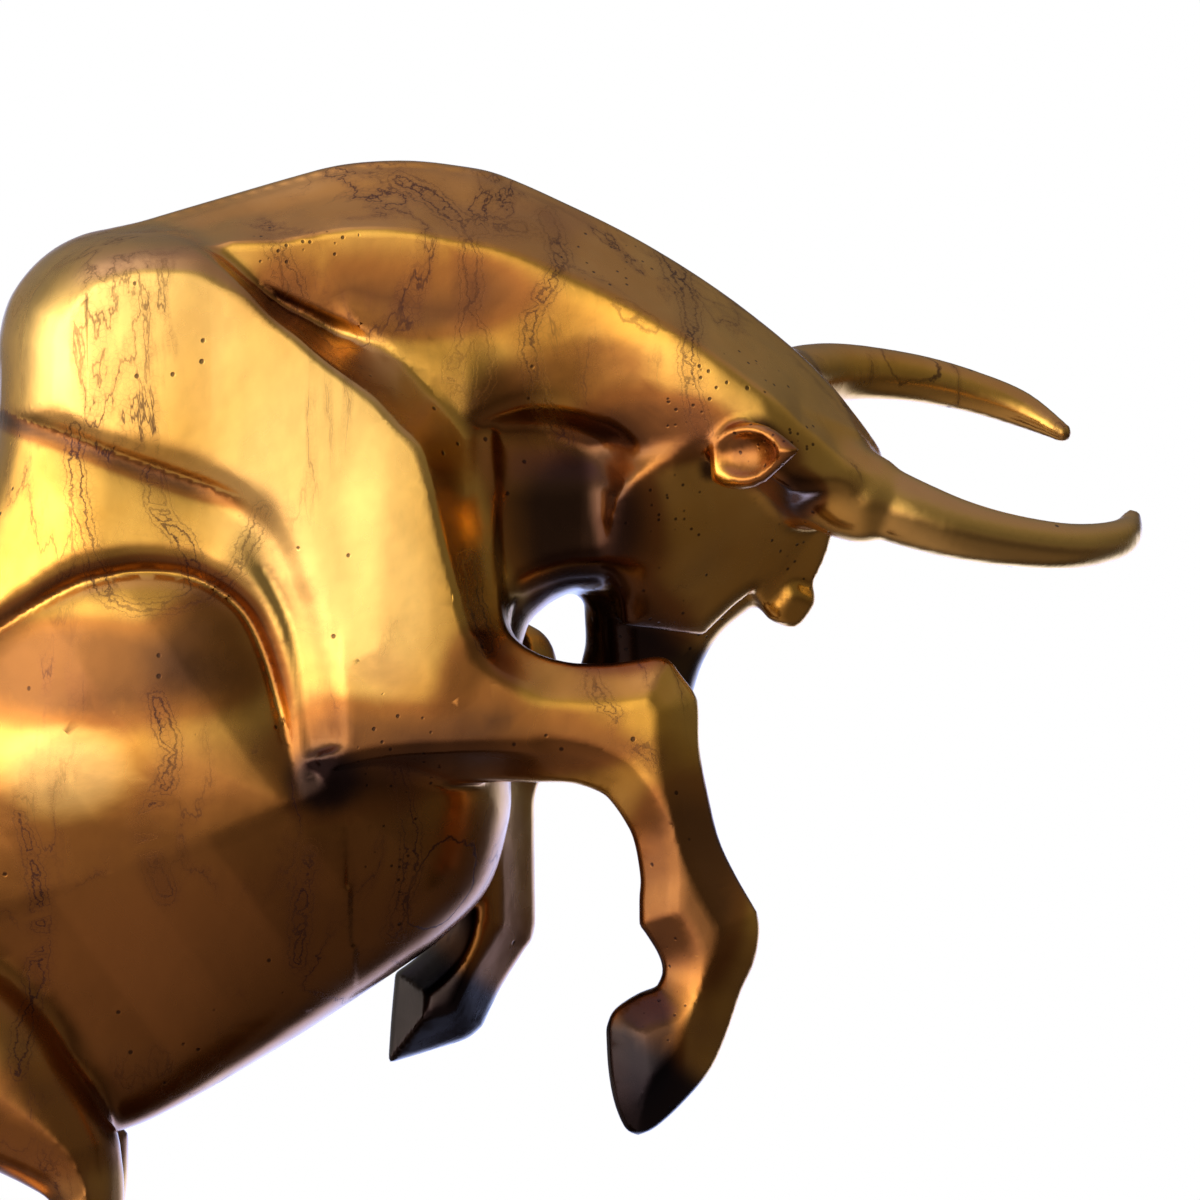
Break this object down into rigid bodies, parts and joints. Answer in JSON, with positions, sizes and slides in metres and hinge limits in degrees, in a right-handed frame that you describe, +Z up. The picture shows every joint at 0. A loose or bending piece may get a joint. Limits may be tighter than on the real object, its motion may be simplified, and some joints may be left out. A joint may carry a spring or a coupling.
{
  "type": "bull statuette",
  "caption": "Cast brass bull rearing on its hind legs with folded forelegs, bowed neck and head turned aside, on a low oval base; stands as an ornament",
  "frame": {"origin": "centre of the base's flat underside", "axes": "+X is the way the bull faces, -Y is the side its head turns away from, +Z is up"},
  "size_m": [0.3265, 0.1037, 0.3158],
  "materials": {
    "bull_brass": "satin antique brass with dark veins, drips and casting pits",
    "base_brass": "dark satin patina"
  },
  "bodies": {
    "root": {"bull": "bull_brass", "base": "base_brass"}
  },
  "joints": []
}
